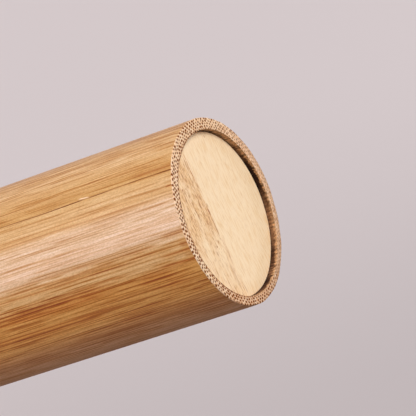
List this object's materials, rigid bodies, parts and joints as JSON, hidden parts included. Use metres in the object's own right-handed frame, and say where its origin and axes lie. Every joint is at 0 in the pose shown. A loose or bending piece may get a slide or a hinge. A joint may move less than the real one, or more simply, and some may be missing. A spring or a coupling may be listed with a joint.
{
  "type": "travel toothbrush case",
  "caption": "Round bamboo tube case: a long body with a turned neck and a pull-off cap, each end closed by an inset bamboo disc.",
  "frame": {"origin": "centre of the bore in the plane of the base rim", "axes": "+Z along the bore, from the base towards the cap's end; +X and +Y across the tube, with the culm's wall thinnest between them"},
  "size_m": [0.0295, 0.029, 0.21],
  "materials": {
    "culm_bamboo": "natural bamboo culm, skin scraped and sanded along the fibres, thin satin oil, bare end grain",
    "disc_bamboo": "pale bamboo strip, sawn and sanded flat, uncoated"
  },
  "bodies": {
    "body": {"body_tube": "culm_bamboo", "base_disc": "disc_bamboo"},
    "cap": {"cap_tube": "culm_bamboo", "cap_disc": "disc_bamboo"}
  },
  "joints": [
    {"name": "cap_pull", "type": "slide", "parent": "body", "child": "cap", "axis": [0, 0, 1], "range_m": [0, 0.06]}
  ]
}
